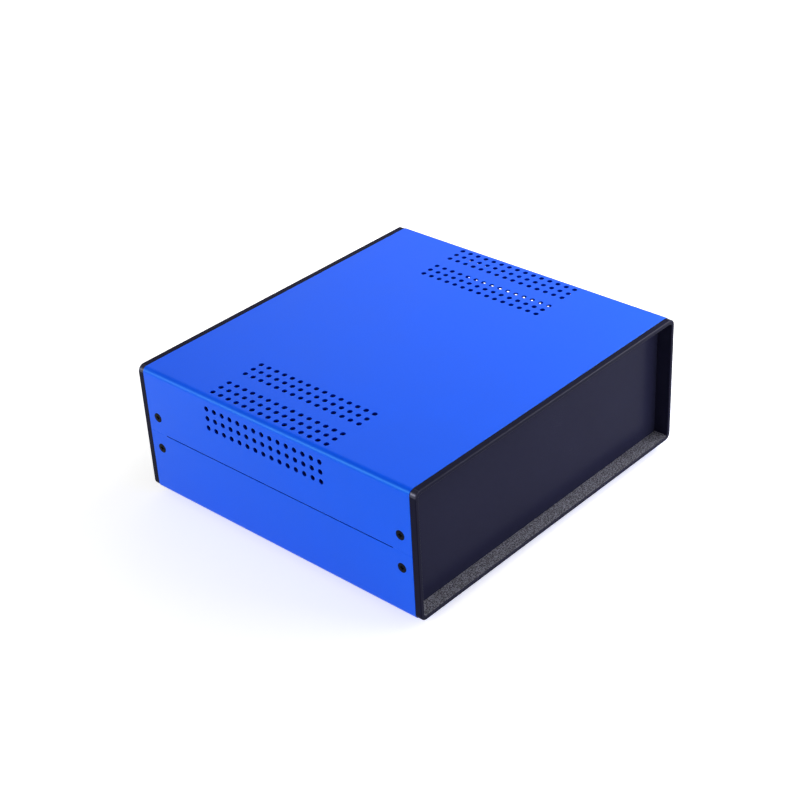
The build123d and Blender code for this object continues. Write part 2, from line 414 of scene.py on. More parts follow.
def grain_group():
    """Spark grain: rounded pits from a cell pattern, roughened with noise. Height is the surface, and Tone
    is bright on its crests and low in its pits, which the recess's finish turns into painted light and
    painted shade."""
    name = "Spark grain"
    if name in bpy.data.node_groups:
        return bpy.data.node_groups[name]
    group, given, result = pattern_group(name, {"Scale": 1500.0})
    spot = {"Vector": given["Position"], "Scale": given["Scale"]}
    cells = node(group, "TexVoronoi", {**spot, "Smoothness": 0.6}, feature="SMOOTH_F1")
    rough = node(group, "TexNoise", {**spot, "Detail": 3.0})
    blend = node(group, "Mix", {"Factor": 0.55, "A": cells.outputs["Distance"], "B": rough.outputs["Fac"]})
    crest = node(group, "MapRange", {"Value": blend.outputs["Result"], "From Min": 0.42, "From Max": 0.58})
    group.links.new(blend.outputs["Result"], result["Height"])
    group.links.new(crest.outputs["Result"], result["Tone"])
    return group


def finish_material(name, group, values, tones, roughness, bump, gloss, metallic=0.0, gloss_tint=WHITE[:3]):
    """A finish from one of the groups. Tone moves the colour between two tones and the roughness between
    two values, and Height feeds a bump of the given depth in metres."""
    material = bpy.data.materials.get(name)
    if material is not None:
        return material
    material = bpy.data.materials.new(name)
    material.use_nodes = True
    tree = material.node_tree
    place = node(tree, "TexCoord")
    pattern = node(tree, "Group", {"Position": place.outputs["Object"], **values}, node_tree=group)
    tone, height = pattern.outputs["Tone"], pattern.outputs["Height"]
    tint = node(tree, "Mix", {"Factor": tone}, data_type="RGBA")
    for socket, shade in zip([s for s in tint.inputs if s.type == "RGBA"], tones):
        socket.default_value = (*shade, 1.0)
    matt = node(tree, "MapRange", {"Value": tone, "To Min": roughness[0], "To Max": roughness[1]})
    relief = node(tree, "Bump", {"Height": height, "Strength": 1.0, "Distance": bump})
    looks = {
        "Base Color": [s for s in tint.outputs if s.type == "RGBA"][0],
        "Roughness": matt.outputs["Result"],
        "Normal": relief.outputs["Normal"],
        "Metallic": metallic,
        "Specular IOR Level": gloss,
        "Specular Tint": (*gloss_tint, 1.0),
    }
    shader = tree.nodes["Principled BSDF"]
    for key, value in looks.items():
        feed(tree, shader.inputs[key], value)
    return material


def speckled(name, fine, broad, broad_share, **looks):
    """A finish from the speckle group, with the scales of its two noises and the broad one's share."""
    values = {"Fine scale": fine, "Broad scale": broad, "Broad share": broad_share}
    return finish_material(name, speckle_group(), values, **looks)


def shades(base, spread):
    """Two tones of a colour, a little darker and a little lighter."""
    base = np.asarray(base, float)
    return tuple(base * (1 - spread)), tuple(np.minimum(base * (1 + spread), 1.0))


def about(value, spread):
    """Two values about one."""
    return value - spread, value + spread


def blue_coat():
    cover = bpy.context.scene.box_covers
    return speckled(
        "blue_powder_coat", 1400.0, 30.0, 0.45,
        tones=shades(cover.coat_colour, 0.03), roughness=about(cover.coat_roughness, 0.03),
        bump=0.004 * MM, gloss=cover.coat_gloss, gloss_tint=cover.coat_gloss_tint,
    )


# A thin coat of the blue, darkened further as painted shade for the holes, the seams and the covers'
# insides.
def shade_darkened_coat():
    cover = bpy.context.scene.box_covers
    return speckled(
        "thin_blue_powder_coat", 1800.0, 90.0, 0.5,
        tones=shades(cover.shade_darkened_coat_colour, 0.1), roughness=(0.6, 0.7),
        bump=0.005 * MM, gloss=0.1, gloss_tint=cover.coat_gloss_tint,
    )


def black_moulding(name, gloss):
    """The mouldings' black, with the gloss of one part of them."""
    ends = bpy.context.scene.box_ends
    return speckled(
        name, 2500.0, 60.0, 0.5,
        tones=shades(ends.plastic_colour, 0.12), roughness=about(ends.plastic_roughness, 0.04),
        bump=0.002 * MM, gloss=gloss, gloss_tint=ends.gloss_tint,
    )


def grained_black_painted_light():
    """The recess's floor and ceiling on their real grain: grey crests that paint the floor's light, and pits
    an eighth as bright that paint the grain's shade.
    """
    ends = bpy.context.scene.box_ends
    crest = np.array(ends.lit_grain_colour)
    return finish_material(
        "grained_black_moulding", grain_group(), {"Scale": 1.0 / ends.grain_size},
        tones=(tuple(crest * 0.12), tuple(crest)), roughness=(0.5, 0.62), bump=0.22 * MM, gloss=0.3,
    )


def panel_paint():
    ends = bpy.context.scene.box_ends
    return speckled(
        "satin_black_panel_paint", 3000.0, 25.0, 0.5,
        tones=shades(ends.panel_colour, 0.08), roughness=about(ends.panel_roughness, 0.03),
        bump=0.002 * MM, gloss=ends.panel_gloss, gloss_tint=ends.gloss_tint,
    )


def black_plating():
    return speckled(
        "black_screw_plating", 4000.0, 700.0, 0.5,
        tones=((0.0015, 0.002, 0.004), (0.003, 0.004, 0.008)), roughness=(0.36, 0.48),
        bump=0.003 * MM, gloss=0.05,
    )


def zinc_plating():
    return speckled(
        "bright_zinc_plating", 3500.0, 500.0, 0.6,
        tones=((0.50, 0.51, 0.53), (0.70, 0.70, 0.70)), roughness=(0.24, 0.4),
        bump=0.004 * MM, gloss=0.5, metallic=1.0,
    )


def foot_rubber():
    return speckled(
        "matt_black_rubber", 2600.0, 220.0, 0.4,
        tones=((0.014, 0.014, 0.015), (0.028, 0.028, 0.029)), roughness=(0.74, 0.88),
        bump=0.03 * MM, gloss=0.3,
    )


# Covers

# Vents: the columns and rows of each group, how far in from the side the top's groups begin, how far
# below the bend the side's group begins, and how far from the rear the last column is
VENT_COLUMNS, VENT_ROWS = 15, 3
TOP_VENTS_IN, SIDE_VENTS_DOWN, VENTS_FROM_REAR = (6 * MM, 30 * MM), 4.6 * MM, 50.3 * MM
# Half sizes of the grid squares round a side screw and a foot's screw
SCREW_CELL, FOOT_CELL = 4 * MM, 3 * MM
# Grid steps along the side of a vent's square and of a screw's square, and round a bend
VENT_STEPS, SCREW_STEPS, BEND_STEPS = 4, 6, 8
# The strip along the seam that the relief moves, and the ramp from the relief to a land
SEAM_STRIP, LAND_RAMP = 0.5 * MM, 0.3 * MM


def stations(*stops):
    """Positions of grid lines. Each stop is (position, number of steps on to the next stop)."""
    runs = [
        np.linspace(start, end, steps, endpoint=False)
        for (start, steps), (end, _) in zip(stops[:-1], stops[1:])
    ]
    return np.append(np.concatenate(runs), stops[-1][0])


def folded(flat, cover):
    """Folds flat points (across, along, depth below the outer face). Across is the way over the outer face
    from the middle of the top: straight, then round a bend of the outside radius, then straight down. Depth
    is taken along the inward normal."""
    across, along, depth = np.moveaxis(flat, -1, 0)
    way = np.abs(across)
    radius = cover.bend_radius
    straight = HALF_WIDTH - radius
    angle = np.clip((way - straight) / radius, 0, pi / 2)
    down = np.maximum(way - straight - radius * pi / 2, 0)
    x = np.sign(across) * (np.minimum(way, straight) + (radius - depth) * np.sin(angle))
    z = HALF_HEIGHT - radius - down + (radius - depth) * np.cos(angle)
    return np.stack([x, along, z], axis=-1)


def ring_patch(grid, inner_grid, across, along, holes, steps, rings, first):
    """Replaces a square of grid cells round each hole with rings. A hole's circles are its centre plus a
    radius times the cosine and sine of an even run of angles, at the depth of each ring. The square's own
    edge points are joined to the first and the last circle. Returns the flat points, the faces and the mask
    of the cells that are replaced."""
    side, none, full = np.arange(steps), np.zeros(steps, int), np.full(steps, steps)
    centre = np.asarray(holes, float)
    start_i = np.searchsorted(across, centre[:, 2] - 1e-7)
    start_j = np.searchsorted(along, centre[:, 3] - 1e-7)
    edge_i = start_i[:, None] + np.concatenate([side, full, steps - side, none])
    edge_j = start_j[:, None] + np.concatenate([none, side, full, steps - side])
    angle = even_turn(4 * steps) - 3 * pi / 4
    rings = np.asarray(rings, float)
    radius = rings[None, :, None, 0]
    shape = (len(centre), len(rings), 4 * steps)
    x = centre[:, 0, None, None] + radius * np.cos(angle)
    y = centre[:, 1, None, None] + radius * np.sin(angle)
    points = np.stack([x, y, np.broadcast_to(rings[None, :, None, 1], shape)], axis=-1)
    numbers = first + np.arange(np.prod(shape)).reshape(shape)
    outer, inner = grid[edge_i, edge_j][:, None], inner_grid[edge_i, edge_j][:, None]
    loops = np.concatenate([outer, numbers, inner], axis=1)
    after = np.roll(loops, -1, axis=2)
    faces = np.stack([loops[:, :-1], after[:, :-1], after[:, 1:], loops[:, 1:]], axis=-1).reshape(-1, 4)
    mask = np.zeros((len(across) - 1, len(along) - 1), bool)
    mask[start_i[:, None, None] + side[None, :, None], start_j[:, None, None] + side[None, None, :]] = True
    return points.reshape(-1, 3), faces, mask


def perforated_sheet(cover, across, along, hole_sets):
    """A folded sheet with holes, as (points, faces). Two grids of the same lines are its outer and inner
    faces. The sheet's four cut edges are rings that leave the outer grid, go round the edge radius and come
    back to the inner grid."""
    soft = cover.edge_radius
    shape = (len(across), len(along))
    size = shape[0] * shape[1]
    flat = np.zeros((2, *shape, 3))
    flat[..., 0] = across[:, None]
    flat[..., 1] = along[None, :]
    flat[1, ..., 2] = SHEET
    grid = np.arange(size).reshape(shape)
    inner_grid = grid + size
    points, faces = [flat.reshape(-1, 3)], []
    count = 2 * size
    mask = np.zeros((shape[0] - 1, shape[1] - 1), bool)
    for holes, steps, rings in hole_sets:
        patch = ring_patch(grid, inner_grid, across, along, holes, steps, rings, count)
        points.append(patch[0])
        faces.append(patch[1])
        mask |= patch[2]
        count += len(patch[0])
    for layer, order in ((grid, (0, 1, 2, 3)), (inner_grid, (0, 3, 2, 1))):
        cells = np.stack([layer[:-1, :-1], layer[1:, :-1], layer[1:, 1:], layer[:-1, 1:]], axis=-1)
        faces.append(cells[~mask][:, order])
    last_i, last_j = shape[0] - 1, shape[1] - 1
    run_i, run_j = np.arange(last_i), np.arange(last_j)
    edge_i = np.concatenate([run_i, np.full(last_j, last_i), last_i - run_i, np.zeros(last_j, int)])
    edge_j = np.concatenate([np.zeros(last_i, int), run_j, np.full(last_i, last_j), last_j - run_j])
    out_i = (edge_i == last_i).astype(float) - (edge_i == 0)
    out_j = (edge_j == last_j).astype(float) - (edge_j == 0)
    angle = np.radians([30, 60, 90])
    out = np.concatenate([soft * np.sin(angle), soft * np.sin(angle[::-1])])[:, None]
    deep = np.concatenate([soft * (1 - np.cos(angle)), SHEET - soft * (1 - np.cos(angle[::-1]))])
    x = across[edge_i] + out * out_i
    y = along[edge_j] + out * out_j
    edge = np.stack([x, y, np.broadcast_to(deep[:, None], x.shape)], axis=-1)
    points.append(edge.reshape(-1, 3))
    outer, inner = grid[edge_i, edge_j][None], inner_grid[edge_i, edge_j][None]
    loops = np.concatenate([outer, count + grid_numbers(edge), inner])
    faces.append(quads_between(loops)[:, ::-1])
    points, faces = np.vstack(points), np.vstack(faces)
    used, faces = np.unique(faces, return_inverse=True)
    return relieved(points[used], cover, across), faces.reshape(-1, 4)


def relieved(flat, cover, across):
    """Draws the seam edges back by half the gap between the lands. A short ramp leads up to each land."""
    near_edge = np.clip((np.abs(flat[:, 0]) - across[-1] + SEAM_STRIP) / SEAM_STRIP, 0, 1)
    between = np.clip((HALF_LENGTH - cover.seam_land - np.abs(flat[:, 1])) / LAND_RAMP, 0, 1)
    flat = flat.copy()
    flat[:, 0] -= np.sign(flat[:, 0]) * near_edge * between * cover.seam_gap / 2
    return flat


def mirrored(lines):
    """The lines and their mirror images about 0, in order."""
    return np.unique(np.concatenate([-lines, lines]).round(9))


def hole_cells(rows, columns, half_row, half_column):
    """Centres and the low corners of the grid squares round a lattice of holes, as rows of four numbers."""
    across, along = (a.ravel() for a in np.meshgrid(rows, columns, indexing="ij"))
    return np.stack([across, along, across - half_row, along - half_column], axis=-1)


def cover_grid(cover, vented):
    """Grid lines and holes of one cover. Lines stand where a hole's square, a bend or a land begins."""
    soft, pitch = cover.edge_radius, cover.vent_pitch
    bend = HALF_WIDTH - cover.bend_radius
    bend_end = bend + cover.bend_radius * pi / 2
    side_top = HALF_HEIGHT - cover.bend_radius
    rim = bend_end + side_top - soft
    screw_way = bend_end + side_top - SCREW_OFF
    screw_along = HALF_LENGTH - SCREW_IN
    land = HALF_LENGTH - cover.seam_land
    ramp_end = land - LAND_RAMP
    screws = hole_cells([-screw_way, screw_way], [-screw_along, screw_along], SCREW_CELL, SCREW_CELL)
    sunk_rings = [
        (SINK_RADIUS + 0.06 * MM, 0), (SINK_RADIUS, 0.05 * MM), (SINK_RADIUS - 0.95 * MM, SHEET),
    ]
    hole_sets = [(screws, SCREW_STEPS, sunk_rings)]
    bend_stops = [(bend, BEND_STEPS), (bend_end, 1)]
    screw_stops = [(screw_way - SCREW_CELL, SCREW_STEPS), (screw_way + SCREW_CELL, 1), (rim, 0)]
    if vented:
        vent_end = HALF_LENGTH - VENTS_FROM_REAR + pitch / 2
        vent_start = vent_end - VENT_COLUMNS * pitch
        outermost, second = (HALF_WIDTH - inset for inset in TOP_VENTS_IN)
        steps_in = pitch * np.arange(VENT_ROWS)
        side_rows = bend_end + SIDE_VENTS_DOWN + steps_in
        columns = vent_start + pitch * (np.arange(VENT_COLUMNS) + 0.5)
        rows = np.concatenate([outermost - steps_in, second - steps_in, side_rows])
        vents = hole_cells(np.concatenate([-rows, rows]), columns, pitch / 2, pitch / 2)
        vents[np.isclose(vents[:, 0], -outermost), 2] = -bend
        hole, soft_hole = cover.vent_diameter / 2, 0.12 * MM
        rings = [
            (hole + soft_hole, 0), (hole + 0.3 * soft_hole, 0.3 * soft_hole), (hole, soft_hole),
            (hole, SHEET),
        ]
        hole_sets.append((vents, VENT_STEPS, rings))
        reach, row_steps = (VENT_ROWS - 0.5) * pitch, VENT_ROWS * VENT_STEPS
        half = stations(
            (0, 3), (second - reach, row_steps), (second + pitch / 2, 1),
            (outermost - reach, row_steps - VENT_STEPS), (outermost - pitch / 2, VENT_STEPS), *bend_stops,
            (side_rows[0] - pitch / 2, row_steps), (side_rows[-1] + pitch / 2, 1), *screw_stops,
        )
        middle = [
            (-land, 1), (-ramp_end, 2), (vent_start, VENT_COLUMNS * VENT_STEPS), (vent_end, 2),
            (ramp_end, 1), (land, 1),
        ]
    else:
        foot_across, foot_along = HALF_WIDTH - FOOT_IN, HALF_LENGTH - FOOT_IN
        feet = hole_cells([-foot_across, foot_across], [-foot_along, foot_along], FOOT_CELL, FOOT_CELL)
        rings = [(FOOT_HOLE + 0.12 * MM, 0), (FOOT_HOLE, 0.12 * MM), (FOOT_HOLE, SHEET)]
        hole_sets.append((feet, SCREW_STEPS, rings))
        half = stations(
            (0, 3), (foot_across - FOOT_CELL, SCREW_STEPS), (foot_across + FOOT_CELL, 2),
            (bend, BEND_STEPS), (bend_end, 2), *screw_stops,
        )
        middle = [
            (-land, 1), (-ramp_end, 1),
            (-foot_along - FOOT_CELL, SCREW_STEPS), (-foot_along + FOOT_CELL, 8),
            (foot_along - FOOT_CELL, SCREW_STEPS), (foot_along + FOOT_CELL, 1),
            (ramp_end, 1), (land, 1),
        ]
    along = stations(
        (-HALF_LENGTH + soft, 1), (-screw_along - SCREW_CELL, SCREW_STEPS), (-screw_along + SCREW_CELL, 1),
        *middle,
        (screw_along - SCREW_CELL, SCREW_STEPS), (screw_along + SCREW_CELL, 1), (HALF_LENGTH - soft, 0),
    )
    return mirrored(half), along, hole_sets


def cover_shape(cover, vented):
    """One cover about the box's mid-height, as (points, faces), with 1 for each face below its outside,
    which takes the darker blue of painted shade.
    """
    flat, faces = perforated_sheet(cover, *cover_grid(cover, vented))
    below = flat[faces, 2].mean(axis=1) > 0.25 * SHEET
    return (folded(flat, cover), faces), below.astype(np.int32)


class BOX_OT_covers(bpy.types.Operator):
    """Makes the upper cover with its vents and the lower cover"""

    bl_idname = "project_box.covers"
    bl_label = "Folded covers"

    def execute(self, context):
        cover = context.scene.box_covers
        lift = Matrix.Translation((0, 0, MID_HEIGHT))
        over = lift @ Matrix.Rotation(pi, 4, "Y")
        coats = [blue_coat(), shade_darkened_coat()]
        for name, vented, matrix in (("upper", True, lift), ("lower", False, over)):
            shape, below = cover_shape(cover, vented)
            sheet = moved(shape, matrix)
            # Faces below the outside take the darker blue, painted shade.
            place_piece(f"{name}_cover_sheet", sheet, coats, [f"{name}_cover"], below)
        return {"FINISHED"}


# End frames and panels


def frame_profile(ends):
    """The moulding's section: rows of (inset from the rim's outside, depth behind its face, radius)."""
    outer, inner = ends.rim_corner_radius, ends.recess_corner_radius
    wall, edge = ends.rim_wall, ends.rim_edge_radius
    mouth, soft = 0.4 * MM, 0.15 * MM
    ledge_front = ends.recess_depth + PANEL
    ledge_back = ledge_front + LEDGE
    ledge_inset = wall + 2.5 * MM
    tongue_inset, tongue_corner = SHEET + 0.15 * MM, 2.2 * MM
    tongue_end = RIM_DEPTH + 14 * MM
    back_edge, lead = 0.3 * MM, 0.4 * MM
    rows = []

    def add(points, radius):
        rows.extend([(inset, depth, radius(inset)) for inset, depth in points])

    def outer_corner(inset):
        return outer - inset

    def inner_corner(inset):
        return inner + wall - inset

    def ledge_corner(inset):
        return inner

    add(arc((edge, edge), edge, 180, 270, 8), outer_corner)
    add(arc((wall - mouth, mouth), mouth, 270, 360, 5), inner_corner)
    add([(wall, ledge_front)], inner_corner)
    add([(ledge_inset - soft, ledge_front), (ledge_inset, ledge_front + soft)], ledge_corner)
    add([(ledge_inset, ledge_back - soft), (ledge_inset - soft, ledge_back)], ledge_corner)
    add([(wall, ledge_back), (wall, tongue_end - soft), (wall - soft, tongue_end)], ledge_corner)
    add([(tongue_inset + lead, tongue_end)], lambda inset: tongue_corner - lead)
    add([(tongue_inset, tongue_end - lead), (tongue_inset, RIM_DEPTH)], lambda inset: tongue_corner)
    add(arc((back_edge, RIM_DEPTH - back_edge), back_edge, 90, 180, 3), outer_corner)
    return np.array(rows)


def swept_frame(ends):
    """The section carried round the rounded rectangle of the rim. It closes both ways."""
    inset, depth, radius = frame_profile(ends).T
    return closed_grid(rounded_rings(HALF_WIDTH - inset, HALF_HEIGHT - inset, radius, RIM_FRONT + depth))


def toward_rear(x, y, z):
    """A place whose own Z points to the rear."""
    return Matrix.Translation((x, y, z)) @ Matrix.Rotation(-pi / 2, 4, "X")


def stud_places(ends):
    """Where the panel's four studs stand, on the panel's back."""
    inset = ends.rim_wall + STUD_IN
    back = RIM_FRONT + ends.recess_depth + PANEL
    return {
        (side, level): toward_rear(side * (HALF_WIDTH - inset), back, level * (HALF_HEIGHT - inset))
        for side in SIDES.values()
        for level in LEVELS.values()
    }


def side_screw_place(side, end, level):
    """The flat of a side screw's head, with Z pointing out of the box."""
    place = Vector((side * HALF_WIDTH, end * (HALF_LENGTH - SCREW_IN), level * SCREW_OFF))
    return Matrix.Translation(place) @ Matrix.Rotation(side * pi / 2, 4, "Y")


def lug_block(side, level, wall, front, back):
    """The block in a corner of the ledge that a stud passes through."""
    in_wall, lug = 0.5 * MM, 9 * MM
    outer = np.array([side * (HALF_WIDTH - wall + in_wall), level * (HALF_HEIGHT - wall + in_wall)])
    inner = np.array([side * (HALF_WIDTH - wall - lug), level * (HALF_HEIGHT - wall - lug)])
    low, high = np.minimum(outer, inner), np.maximum(outer, inner)
    return block((low[0], front, low[1]), (high[0], back, high[1]))


def screw_boss(side, head, ledge_front):
    """The boss inside the tongue that a side screw runs into: a round bar, cut flat at the ledge."""
    boss_start, boss_end, boss_radius = 1.75 * MM, 9.6 * MM, 3.6 * MM
    angle = even_turn(32)
    y = np.maximum(head.translation.y + boss_radius * np.cos(angle), ledge_front)
    z = head.translation.z + boss_radius * np.sin(angle)
    reach = np.sort([side * (HALF_WIDTH - boss_start), side * (HALF_WIDTH - boss_end)])
    return prism(np.stack([y, z], axis=-1), *reach, 0)


def web(x, level, wall, ledge_back):
    """One of the thin gussets between the ledge's back and the wall."""
    in_wall, thick, run, rise = 0.5 * MM, 1.2 * MM, 4 * MM, 2.5 * MM
    foot = HALF_HEIGHT - wall
    outline = np.array([
        (ledge_back + run, foot + in_wall), (ledge_back + run, foot), (ledge_back, foot - rise),
        (ledge_back - in_wall, foot - rise), (ledge_back - in_wall, foot + in_wall),
    ]) * (1, level)
    return prism(outline if level > 0 else outline[::-1], x - thick / 2, x + thick / 2, 0)


def frame_shape(ends):
    """The front frame about the box's mid-height: the swept moulding with lugs, bosses and webs, less the
    screws' holes."""
    wall = ends.rim_wall
    ledge_front = RIM_FRONT + ends.recess_depth + PANEL
    ledge_back = ledge_front + LEDGE
    drill = [(0, 5 * MM), (STUD_HOLE, 5 * MM), (STUD_HOLE, -3 * MM), (0, -3 * MM)]
    bore_radius, bore_end = 1.51 * MM, -8.6 * MM
    bore = [
        (0, 1 * MM), (SINK_RADIUS, 1 * MM), (SINK_RADIUS, 0), (bore_radius, bore_radius - SINK_RADIUS),
        (bore_radius, bore_end), (0, bore_end),
    ]
    extra, holes = [], []
    for (side, level), place in stud_places(ends).items():
        head = side_screw_place(side, -1, level)
        extra.append(lug_block(side, level, wall, ledge_front, ledge_back))
        extra.append(screw_boss(side, head, ledge_front))
        holes.append(moved(lathe(drill, 24), place))
        holes.append(moved(lathe(bore, 24), head))
    for level in LEVELS.values():
        extra += [web(x, level, wall, ledge_back) for x in np.linspace(-80, 80, 5) * MM]
    shape = combined(swept_frame(ends), "UNION", joined(*extra))
    return combined(shape, "DIFFERENCE", joined(*holes))


def face_centres(shape):
    """The middle of each face, as the mean of its corners, and its normal, as Blender works them out."""
    mesh = mesh_of("measure", shape)
    centre = np.empty(len(mesh.polygons) * 3)
    normal = np.empty(len(mesh.polygons) * 3)
    mesh.polygons.foreach_get("center", centre)
    mesh.polygons.foreach_get("normal", normal)
    bpy.data.meshes.remove(mesh)
    return centre.reshape(-1, 3), normal.reshape(-1, 3)


def frame_finish(ends, shape):
    """The number of each face's finish: 3 on the rim's upper corners, 2 on its upper edge, 1 on the
    recess's floor and ceiling, where the grey grain paints light, and 0 elsewhere."""
    centre, normal = face_centres(shape)
    x, y, z = centre.T
    within = ends.rim_wall - 0.1 * MM
    inside = (np.abs(x) < HALF_WIDTH - within) & (np.abs(z) < HALF_HEIGHT - within)
    in_recess = inside & (y < RIM_FRONT + ends.recess_depth + 0.6 * MM)
    forward = -normal[:, 1]
    edge = (y < RIM_FRONT + ends.rim_edge_radius) & (forward > 0.08) & (forward < 0.998)
    corner = (y < RIM_FRONT + RIM_DEPTH) & (normal[:, 0] * np.sign(x) > 0.1)
    upward = normal[:, 2] > 0.1
    # Only the recess's floor and ceiling get the grey grain, painted light; its side walls stay black.
    grained = in_recess & (np.abs(normal[:, 2]) > 0.7)
    return np.select([corner & upward, edge & upward, grained], [3, 2, 1], 0).astype(np.int32)


def end_places():
    """Both ends by name, each with the matrix that carries a shape of the front end there."""
    lift = Matrix.Translation((0, 0, MID_HEIGHT))
    return {name: lift @ Matrix.Rotation(0 if end < 0 else pi, 4, "Z") for name, end in ENDS.items()}


class BOX_OT_end_frames(bpy.types.Operator):
    """Makes the front and the rear frame, smooth outside and grained in the recess, with painted light in
    grey on the recess's floor and ceiling
    """

    bl_idname = "project_box.end_frames"
    bl_label = "End frames"

    def execute(self, context):
        ends = context.scene.box_ends
        shape = frame_shape(ends)
        finish = frame_finish(ends, shape)
        blacks = [
            black_moulding("smooth_black_moulding", ends.plastic_gloss), grained_black_painted_light(),
            black_moulding("polished_black_edge", ends.edge_gloss),
            black_moulding("polished_black_corner", ends.corner_gloss),
        ]
        for name, matrix in end_places().items():
            body = moved(shape, matrix)
            place_piece(f"{name}_frame_moulding", body, blacks, [f"{name}_frame"], finish)
        return {"FINISHED"}


def panel_shape(ends, hardware):
    """The front panel about the box's mid-height: rounded rings from the middle of its face to the middle
    of its back, with a threaded stud near each corner."""
    clearance, soft, soft_back = 0.15 * MM, 0.8 * MM, 0.12 * MM
    half_width = HALF_WIDTH - ends.rim_wall - clearance
    half_height = HALF_HEIGHT - ends.rim_wall - clearance
    corner = ends.recess_corner_radius - clearance
    face = RIM_FRONT + ends.recess_depth
    inset, depth = np.vstack([
        arc((soft, soft), soft, 270, 180, 6),
        arc((soft_back, PANEL - soft_back), soft_back, 180, 90, 3),
    ]).T
    rings = rounded_rings(half_width - inset, half_height - inset, corner - inset, face + depth)
    numbers = grid_numbers(rings)
    faces = quads_between(numbers)[:, ::-1].tolist()
    faces += [numbers[0].tolist(), numbers[-1][::-1].tolist()]
    radius, pitch = hardware.screw_diameter / 2, hardware.thread_pitch
    tip, root = 4.6 * MM, -0.3 * MM
    stud = np.vstack([
        [(0, tip), (radius - 0.3 * MM, tip)], thread(radius, pitch, tip - 0.2 * MM, 0.4 * MM),
        [(radius, 0.2 * MM), (radius, root), (0, root)],
    ])
    studs = [moved(lathe(stud, 20), place) for place in stud_places(ends).values()]
    return combined((rings.reshape(-1, 3), faces), "UNION", joined(*studs))


class BOX_OT_panels(bpy.types.Operator):
    """Makes the front and the rear panel with their studs"""

    bl_idname = "project_box.panels"
    bl_label = "Panels"

    def execute(self, context):
        scene = context.scene
        shape = panel_shape(scene.box_ends, scene.box_hardware)
        for name, matrix in end_places().items():
            sheet = moved(shape, matrix)
            place_piece(f"{name}_panel_sheet", sheet, [panel_paint()], [f"{name}_panel"])
        return {"FINISHED"}


# Screws, nuts and feet


def cross_recess(length=3.0 * MM, width=0.8 * MM, depth=1.1 * MM):
    """The cross that a driver fits, wide at the mouth and narrower below, standing through z = 0."""
    long, wide = length / 2, width / 2
    plus = np.array([
        (long, -wide), (long, wide), (wide, wide), (wide, long), (-wide, long), (-wide, wide),
        (-long, wide), (-long, -wide), (-wide, -wide), (-wide, -long), (wide, -long), (wide, -wide),
    ])
    points, faces = prism(plus, -depth, 0.2 * MM, 2)
    points[: len(plus), :2] *= np.where(np.abs(points[: len(plus), :2]) > wide * 1.01, 0.5, 0.8)
    return points, faces


def side_screw_shape(hardware):
    """A countersunk screw with the flat of its head at z = 0: flat, 90 degree cone, thread and point."""
    head, shank = hardware.head_diameter / 2, hardware.screw_diameter / 2
    cone_end, tip = shank - head, -8.0 * MM
    profile = np.vstack([
        [(0, 0), (head - 0.12 * MM, 0), (head - 0.02 * MM, -0.05 * MM), (head - 0.03 * MM, -0.1 * MM)],
        [(shank, cone_end)],
        thread(shank, hardware.thread_pitch, cone_end - 0.2 * MM, -7.6 * MM),
        [(shank - 0.4 * MM, tip), (0, tip)],
    ])
    return combined(lathe(profile), "DIFFERENCE", cross_recess())


class BOX_OT_side_screws(bpy.types.Operator):
    """Makes the eight countersunk screws in the sides"""

    bl_idname = "project_box.side_screws"
    bl_label = "Side screws"

    def execute(self, context):
        shape = side_screw_shape(context.scene.box_hardware)
        lift = Matrix.Translation((0, 0, MID_HEIGHT))
        places = {
            f"{side_name}_{end_name}_{level_name}": side_screw_place(side, end, level)
            for side_name, side in SIDES.items()
            for end_name, end in ENDS.items()
            for level_name, level in LEVELS.items()
        }
        for where, place in places.items():
            name, screw = f"countersunk_screw_{where}", moved(shape, lift @ place)
            place_piece(name, screw, [black_plating()], [f"side_screw_{where}"])
        return {"FINISHED"}


def foot_shape(hardware):
    """A turned rubber foot with its top face at z = 0: a taper, rounded edges, and a counterbore from below
    round the screw's hole. The hole runs through, so the section closes on itself and has no pole."""
    high = FOOT_HIGH.z - FOOT_LOW.z
    top, base, bore = 6.5 * MM, 5.5 * MM, 3.4 * MM
    soft, fine = hardware.foot_edge_radius, 0.25 * MM
    section = np.vstack([
        [(FOOT_HOLE, 0), (top - fine, 0)],
        arc((top - fine, -fine), fine, 60, 0, 2),
        arc((base - soft + 0.05 * MM, soft - high), soft, -6, -90, 6),
        arc((bore + fine, fine - high), fine, 270, 180, 3),
        [(bore, -FOOT_WEB - fine), (bore - fine, -FOOT_WEB), (FOOT_HOLE, -FOOT_WEB)],
    ])
    points, faces = closed_grid(turned(section[:, :1], section[:, 1:], even_turn(40)))
    return points, faces[:, ::-1]


def foot_screw_shape(hardware):
    """A pan head screw, head down, with the face of its head that clamps at z = 0."""
    head, shank, high = hardware.head_diameter / 2, hardware.screw_diameter / 2, 1.8 * MM
    tip, fine, crown = 6.2 * MM, 0.1 * MM, 0.7 * MM
    profile = np.vstack([
        [(0, tip), (shank - 0.35 * MM, tip)],
        thread(shank, hardware.thread_pitch, tip - 0.3 * MM, 0.4 * MM),
        [(shank, 0.2 * MM), (shank, 0), (head - fine, 0)],
        arc((head - fine, -fine), fine, 60, 0, 2),
        arc((head - crown, -high + crown), crown, -10, -80, 6),
        [(0, -high)],
    ])
    from_below = Matrix.Translation((0, 0, -high)) @ Matrix.Rotation(pi, 4, "X")
    return combined(lathe(profile), "DIFFERENCE", moved(cross_recess(), from_below))


def foot_places():
    """The top face of each foot, against the underside of the lower cover."""
    across, along = HALF_WIDTH - FOOT_IN, HALF_LENGTH - FOOT_IN
    return {
        f"{side_name}_{end_name}": Vector((side * across, end * along, FOOT_HIGH.z))
        for side_name, side in SIDES.items()
        for end_name, end in ENDS.items()
    }


